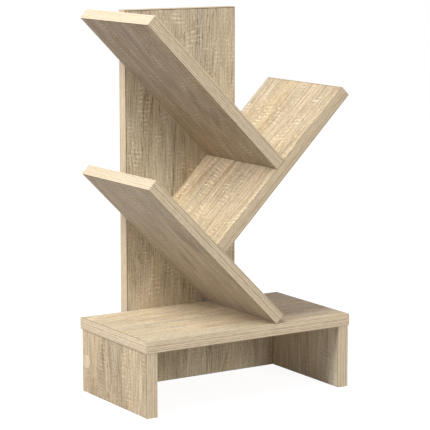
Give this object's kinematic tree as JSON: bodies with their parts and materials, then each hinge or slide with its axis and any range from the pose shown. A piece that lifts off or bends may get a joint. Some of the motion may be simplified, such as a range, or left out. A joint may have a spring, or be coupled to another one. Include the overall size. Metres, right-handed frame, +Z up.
{
  "type": "tree shaped bookshelf",
  "caption": "Small free-standing bookshelf: a low bench base, an upright trunk board behind it, and sloping branch boards that meet square and leave leaning bays for books.",
  "frame": {"origin": "centre of the footprint, on the floor under the legs", "axes": "+Z up; the front, from which books are taken, faces -Y; +X is to the right seen from the front"},
  "size_m": [0.3, 0.1806, 0.4831],
  "materials": {
    "board_face": "melamine paper with a pale brushed oak print, matt, with a fine pore texture",
    "edge_band": "edge band with fine straight oak lines, matt",
    "cover_cap": "self-adhesive foil disc with a paler oak print",
    "screw_steel": "bright zinc plate",
    "dowel_beech": "plain turned beech"
  },
  "bodies": {
    "root": {"base_top": "board_face", "left_leg": "board_face", "right_leg": "board_face", "rail": "board_face", "trunk": "board_face", "low_branch": "board_face", "middle_branch": "board_face", "top_branch": "board_face", "base_top_front_band": "edge_band", "base_top_back_band": "edge_band", "base_top_left_band": "edge_band", "base_top_right_band": "edge_band", "left_leg_front_band": "edge_band", "left_leg_back_band": "edge_band", "right_leg_front_band": "edge_band", "right_leg_back_band": "edge_band", "trunk_left_band": "edge_band", "trunk_right_band": "edge_band", "trunk_top_band": "edge_band", "low_branch_front_band": "edge_band", "low_branch_back_band": "edge_band", "low_branch_tip_band": "edge_band", "low_branch_foot_band": "edge_band", "middle_branch_front_band": "edge_band", "middle_branch_back_band": "edge_band", "middle_branch_tip_band": "edge_band", "top_branch_front_band": "edge_band", "top_branch_back_band": "edge_band", "top_branch_tip_band": "edge_band", "left_leg_screw": "screw_steel", "right_leg_screw": "screw_steel", "base_top_screw_1": "screw_steel", "base_top_screw_2": "screw_steel", "rail_screw_1": "screw_steel", "rail_screw_2": "screw_steel", "low_branch_screw_1": "screw_steel", "low_branch_screw_2": "screw_steel", "middle_branch_screw_1": "screw_steel", "middle_branch_screw_2": "screw_steel", "top_branch_screw_1": "screw_steel", "top_branch_screw_2": "screw_steel", "left_leg_cap": "cover_cap", "right_leg_cap": "cover_cap", "base_top_cap_1": "cover_cap", "base_top_cap_2": "cover_cap", "rail_cap_1": "cover_cap", "rail_cap_2": "cover_cap", "low_branch_cap_1": "cover_cap", "low_branch_cap_2": "cover_cap", "middle_branch_cap_1": "cover_cap", "middle_branch_cap_2": "cover_cap", "top_branch_cap_1": "cover_cap", "top_branch_cap_2": "cover_cap", "left_leg_dowel_1": "dowel_beech", "left_leg_dowel_2": "dowel_beech", "right_leg_dowel_1": "dowel_beech", "right_leg_dowel_2": "dowel_beech", "middle_branch_dowel": "dowel_beech", "top_branch_dowel": "dowel_beech"}
  },
  "joints": []
}
